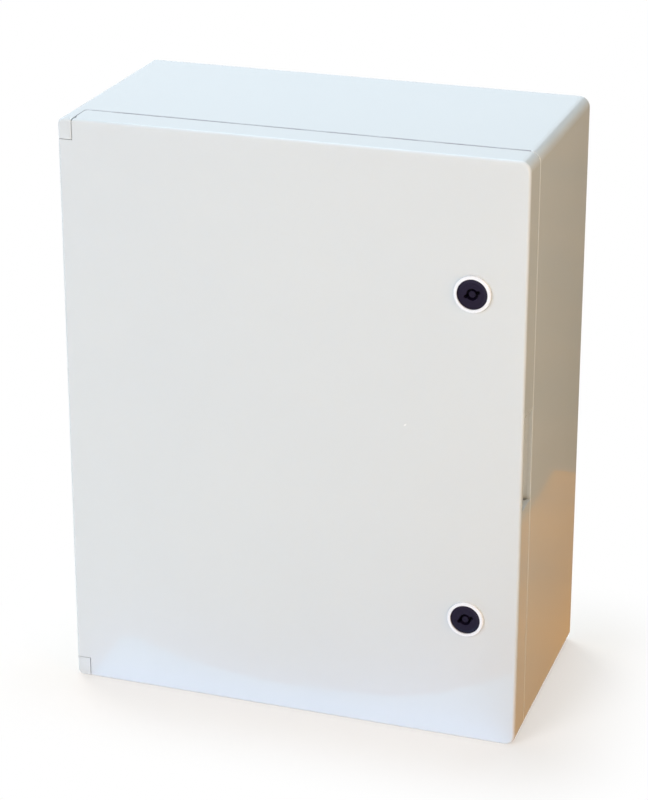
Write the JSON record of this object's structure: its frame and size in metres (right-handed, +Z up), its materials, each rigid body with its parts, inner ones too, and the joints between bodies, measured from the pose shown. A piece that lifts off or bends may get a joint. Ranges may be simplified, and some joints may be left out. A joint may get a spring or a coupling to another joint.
{
  "type": "distribution cabinet",
  "caption": "Wall-mounted plastic cabinet with a hinged door, quarter-turn locks with a double-bit key recess, a sealed rim and a steel mounting plate inside.",
  "frame": {"origin": "bottom centre of the closed cabinet's box, on the surface it stands on", "axes": "+Z up, -Y out of the door, +X to the right as seen from the front"},
  "size_m": [0.39, 0.2026, 0.5],
  "materials": {
    "grey_shell": "glossy moulded",
    "white_ring": "glossy moulded",
    "black_core": "satin moulded",
    "foam_seal": "matt foam",
    "galvanised_sheet": "galvanised",
    "zinc_steel": "zinc plated",
    "insert_brass": "turned"
  },
  "bodies": {
    "cabinet": {"enclosure_body": "grey_shell", "upper_hinge_pin": "zinc_steel", "lower_hinge_pin": "zinc_steel", "mounting_plate": "galvanised_sheet", "threaded_inserts": "insert_brass", "plate_screws": "zinc_steel"},
    "door_assembly": {"door": "grey_shell", "door_gasket": "foam_seal", "upper_lock_housing": "white_ring", "upper_lock_seal": "foam_seal", "upper_lock_nut": "zinc_steel", "lower_lock_housing": "white_ring", "lower_lock_seal": "foam_seal", "lower_lock_nut": "zinc_steel"},
    "upper_lock": {"upper_lock_core": "black_core", "upper_stop_pin": "zinc_steel", "upper_lock_cam": "zinc_steel", "upper_cam_washer": "zinc_steel", "upper_cam_screw": "zinc_steel"},
    "lower_lock": {"lower_lock_core": "black_core", "lower_stop_pin": "zinc_steel", "lower_lock_cam": "zinc_steel", "lower_cam_washer": "zinc_steel", "lower_cam_screw": "zinc_steel"}
  },
  "joints": [
    {"name": "door_swing", "type": "hinge", "parent": "cabinet", "child": "door_assembly", "pos_m": [-0.189, -0.09375, 0.25], "axis": [0, 0, -1], "range_deg": [0, 180]},
    {"name": "upper_lock_turn", "type": "hinge", "parent": "door_assembly", "child": "upper_lock", "pos_m": [0.1515, -0.09875, 0.39], "axis": [0, -1, 0], "range_deg": [-22, 68]},
    {"name": "lower_lock_turn", "type": "hinge", "parent": "door_assembly", "child": "lower_lock", "pos_m": [0.1515, -0.09875, 0.11], "axis": [0, -1, 0], "range_deg": [-22, 68]}
  ]
}
